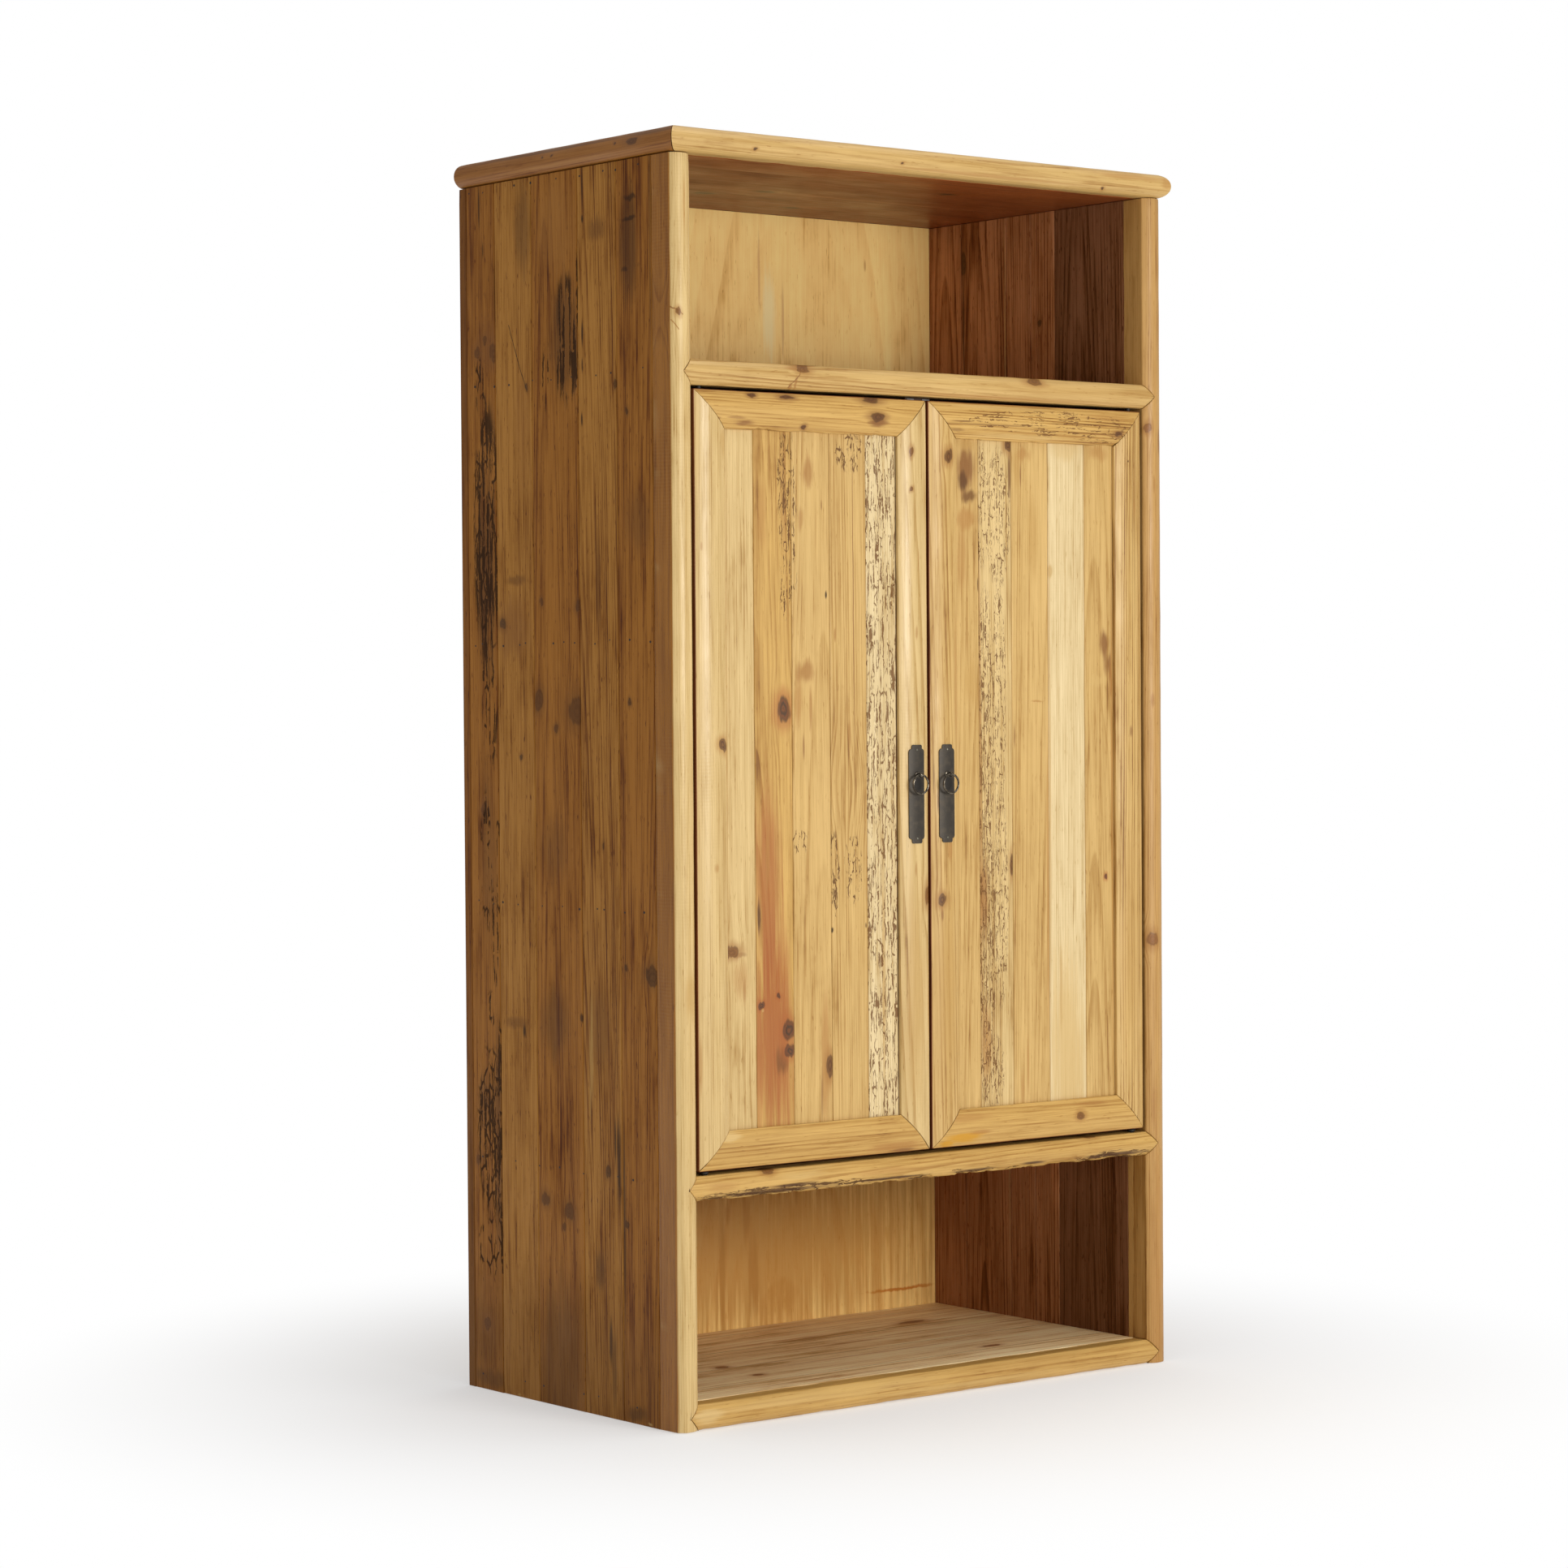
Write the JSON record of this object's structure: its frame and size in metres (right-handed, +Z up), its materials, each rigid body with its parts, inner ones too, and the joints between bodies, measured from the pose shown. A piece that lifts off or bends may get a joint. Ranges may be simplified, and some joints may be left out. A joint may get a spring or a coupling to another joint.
{
  "type": "armoire",
  "caption": "Tall rustic pine armoire: open bays above and below panelled doors on pivot pins, round-fronted frame with V joints, plank sides, inner shelves, and ring pulls on dark plates.",
  "frame": {"origin": "on the floor, under the middle of the armoire's overall box", "axes": "+Z up, -Y out of the front, +X to the right as seen from the front"},
  "size_m": [1.05, 0.592, 2],
  "materials": {
    "frame_pine": "waxed pine, honey coloured, satin",
    "door_pine": "waxed pine, honey coloured, satin",
    "panel_pine": "waxed old pine, golden, worm-marked, satin",
    "pale_pine": "waxed old pine, cream, worm-marked, satin",
    "red_pine": "waxed old pine, reddish heartwood, satin",
    "aged_pine": "stained old pine, brown, low satin",
    "dark_pine": "stained old pine, dark reddish brown, low satin",
    "grey_pine": "old pine, grey brown, dull",
    "plywood": "light plywood, dull",
    "dark_bronze": "dark bronze finish, satin",
    "steel": "plain steel",
    "brown_plastic": "moulded, matte"
  },
  "bodies": {
    "carcass": {"back_panel": "plywood", "bottom_rail": "frame_pine", "double_catch": "brown_plastic", "floor_board": "grey_pine", "left_front_post": "frame_pine", "left_rear_post": "aged_pine", "left_side_board_1": "aged_pine", "left_side_board_2": "aged_pine", "left_side_board_3": "aged_pine", "left_side_board_4": "aged_pine", "left_side_board_5": "aged_pine", "lower_inner_shelf": "dark_pine", "lower_rail": "frame_pine", "lower_shelf": "grey_pine", "rear_bottom_rail": "aged_pine", "rear_top_rail": "aged_pine", "right_front_post": "frame_pine", "right_rear_post": "aged_pine", "right_side_board_1": "aged_pine", "right_side_board_2": "aged_pine", "right_side_board_3": "aged_pine", "right_side_board_4": "aged_pine", "right_side_board_5": "aged_pine", "top_front_moulding": "frame_pine", "top_left_moulding": "frame_pine", "top_panel": "grey_pine", "top_right_moulding": "frame_pine", "upper_inner_shelf": "dark_pine", "upper_rail": "frame_pine", "upper_shelf": "grey_pine"},
    "left_door": {"left_bottom_pivot_pin": "steel", "left_door_bottom_rail": "door_pine", "left_door_inner_stile": "door_pine", "left_door_outer_stile": "door_pine", "left_door_strike": "steel", "left_door_top_rail": "door_pine", "left_panel_board_1": "pale_pine", "left_panel_board_2": "pale_pine", "left_panel_board_3": "panel_pine", "left_panel_board_4": "red_pine", "left_panel_board_5": "panel_pine", "left_pull_eye": "dark_bronze", "left_pull_plate": "dark_bronze", "left_top_pivot_pin": "steel"},
    "right_door": {"right_bottom_pivot_pin": "steel", "right_door_bottom_rail": "door_pine", "right_door_inner_stile": "door_pine", "right_door_outer_stile": "door_pine", "right_door_strike": "steel", "right_door_top_rail": "door_pine", "right_panel_board_1": "panel_pine", "right_panel_board_2": "panel_pine", "right_panel_board_3": "panel_pine", "right_panel_board_4": "pale_pine", "right_panel_board_5": "panel_pine", "right_pull_eye": "dark_bronze", "right_pull_plate": "dark_bronze", "right_top_pivot_pin": "steel"},
    "left_ring": {"left_ring": "dark_bronze"},
    "right_ring": {"right_ring": "dark_bronze"}
  },
  "joints": [
    {"name": "left_door_hinge", "type": "hinge", "parent": "carcass", "child": "left_door", "pos_m": [-0.452, -0.2635, 1], "axis": [0, 0, -1], "range_deg": [0, 105]},
    {"name": "right_door_hinge", "type": "hinge", "parent": "carcass", "child": "right_door", "pos_m": [0.452, -0.2635, 1], "axis": [0, 0, 1], "range_deg": [0, 105]},
    {"name": "left_ring_swing", "type": "hinge", "parent": "left_door", "child": "left_ring", "pos_m": [-0.032, -0.292, 1.002], "axis": [-1, 0, 0], "range_deg": [-10, 160]},
    {"name": "right_ring_swing", "type": "hinge", "parent": "right_door", "child": "right_ring", "pos_m": [0.032, -0.292, 1.002], "axis": [-1, 0, 0], "range_deg": [-10, 160]}
  ]
}
